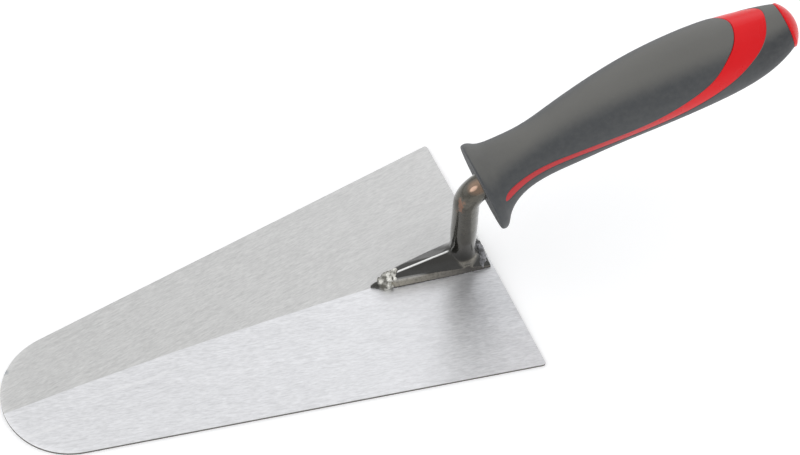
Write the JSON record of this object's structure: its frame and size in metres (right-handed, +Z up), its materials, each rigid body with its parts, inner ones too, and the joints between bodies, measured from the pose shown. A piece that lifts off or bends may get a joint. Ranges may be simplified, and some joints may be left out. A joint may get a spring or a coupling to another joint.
{
  "type": "brick trowel",
  "caption": "Round-nosed masonry trowel: flat tapered steel blade, upright forged neck and a raised two-colour soft-grip handle.",
  "frame": {"origin": "on the blade's flat underside, straight below the axis of the upright neck", "axes": "+X from the blade's nose towards the handle's butt, +Y to the right of someone who holds the handle and faces the nose, +Z up from the blade"},
  "size_m": [0.3253, 0.1146, 0.0961],
  "materials": {
    "blade_steel": "ground and belt-brushed, clear-lacquered",
    "forged_steel": "dark glossy lacquer over polished forging",
    "weld_metal": "rough weld bead under the lacquer",
    "red_plastic": "smooth satin to gloss",
    "grey_soft_plastic": "fine matte soft-touch"
  },
  "bodies": {
    "root": {"blade": "blade_steel", "tang": "forged_steel", "weld_toe": "weld_metal", "weld_heel": "weld_metal", "handle_core": "red_plastic", "grip": "grey_soft_plastic", "end_cap": "red_plastic"}
  },
  "joints": []
}
